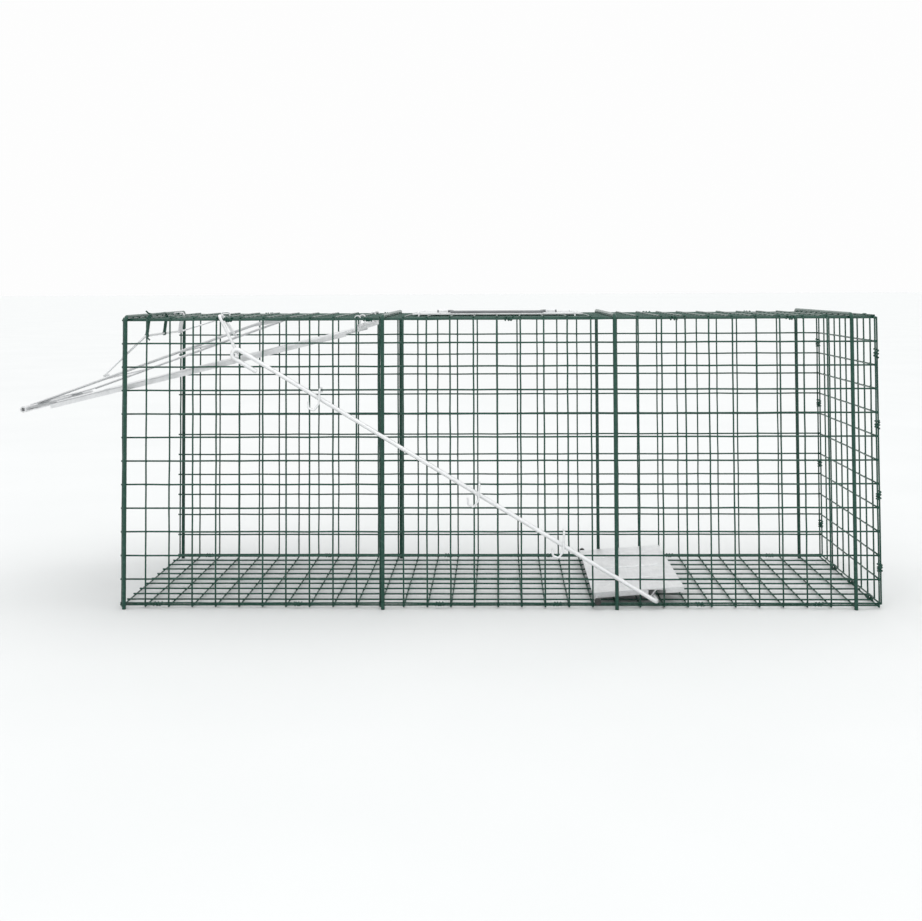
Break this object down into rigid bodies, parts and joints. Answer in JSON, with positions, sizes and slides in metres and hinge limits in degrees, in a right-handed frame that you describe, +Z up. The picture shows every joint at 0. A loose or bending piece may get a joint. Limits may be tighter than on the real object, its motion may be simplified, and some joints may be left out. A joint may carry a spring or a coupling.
{
  "type": "live catch trap",
  "caption": "Welded mesh cage trap with a gravity door at one end, a lock frame, a treadle with its trigger rod and catch, and a carrying handle on top.",
  "frame": {"origin": "centre of the flat foot of the front hoop on the near side, on the ground", "axes": "+X from the entrance to the closed rear end, +Y across the cage to the far side, +Z up"},
  "size_m": [0.9341, 0.2773, 0.3191],
  "materials": {
    "green_coating": "dark green coating over welded wire, satin",
    "galvanised_sheet": "galvanised sheet, faint spangle",
    "galvanised_wire": "bright galvanised wire",
    "handle_wire": "plain steel wire, duller than the rest",
    "black_cap": "pushed-on cap"
  },
  "bodies": {
    "cage": {"near_side_panel": "green_coating", "far_side_panel": "green_coating", "top_panel": "green_coating", "floor_panel": "green_coating", "rear_panel": "green_coating", "front_hoop": "green_coating", "second_hoop": "green_coating", "third_hoop": "green_coating", "rear_hoop": "green_coating", "bottom_edge_clips": "green_coating", "top_edge_clips": "green_coating", "rear_corner_clips": "green_coating", "rear_edge_clips": "green_coating", "door_hinge_rod": "galvanised_wire", "door_hinge_hangers": "galvanised_wire", "lock_spring_hangers": "green_coating", "lock_spring_strap": "galvanised_sheet", "lock_spring_tail": "galvanised_wire", "rod_guides": "galvanised_wire", "treadle_axle": "galvanised_wire", "treadle_axle_caps": "black_cap", "guard_plate": "galvanised_sheet", "guard_plate_clips": "galvanised_wire", "handle_saddles": "galvanised_sheet", "saddle_rivets": "galvanised_wire"},
    "door": {"door": "galvanised_sheet", "door_end_pin": "galvanised_wire"},
    "lock_frame": {"lock_frame": "galvanised_sheet"},
    "lock_spring": {"lock_spring": "galvanised_wire"},
    "catch_lever": {"catch_lever": "galvanised_wire"},
    "trigger_rod": {"trigger_rod": "galvanised_wire"},
    "treadle": {"treadle": "galvanised_sheet"},
    "handle": {"handle": "handle_wire"}
  },
  "joints": [
    {"name": "door_hinge", "type": "hinge", "parent": "cage", "child": "door", "pos_m": [0.2508, 0.1318, 0.301], "axis": [0, -1, 0], "range_deg": [0, 36.8]},
    {"name": "lock_frame_hinge", "type": "hinge", "parent": "door", "child": "lock_frame", "pos_m": [-0.11653, 0.1318, 0.21308], "axis": [0, -1, 0], "range_deg": [0, 18.23]},
    {"name": "lock_spring_hinge", "type": "hinge", "parent": "cage", "child": "lock_spring", "pos_m": [0.0197, 0.1318, 0.2934], "axis": [0, -1, 0], "range_deg": [0, 44.36]},
    {"name": "treadle_hinge", "type": "hinge", "parent": "cage", "child": "treadle", "pos_m": [0.5098, 0.1318, 0.0088], "axis": [0, 1, 0], "range_deg": [0, 4]},
    {"name": "catch_hinge", "type": "hinge", "parent": "cage", "child": "catch_lever", "pos_m": [0.1021, 0.1318, 0.3149], "axis": [0, 1, 0], "range_deg": [-9.27, 0]},
    {"name": "rod_hinge", "type": "hinge", "parent": "catch_lever", "child": "trigger_rod", "pos_m": [0.1226, 0.1318, 0.2735], "axis": [0, 1, 0], "range_deg": [0, 9.69]},
    {"name": "handle_hinge", "type": "hinge", "parent": "cage", "child": "handle", "pos_m": [-0.0032, 0.1438, 0.3165], "axis": [-1, 0, 0], "range_deg": [0, 178]}
  ],
  "couplings": [
    {"joint": "lock_frame_hinge", "follows": "door_hinge", "ratio": 0.49},
    {"joint": "lock_spring_hinge", "follows": "door_hinge", "ratio": 1.2},
    {"joint": "catch_hinge", "follows": "treadle_hinge", "ratio": -2.305},
    {"joint": "rod_hinge", "follows": "treadle_hinge", "ratio": 2.41}
  ]
}
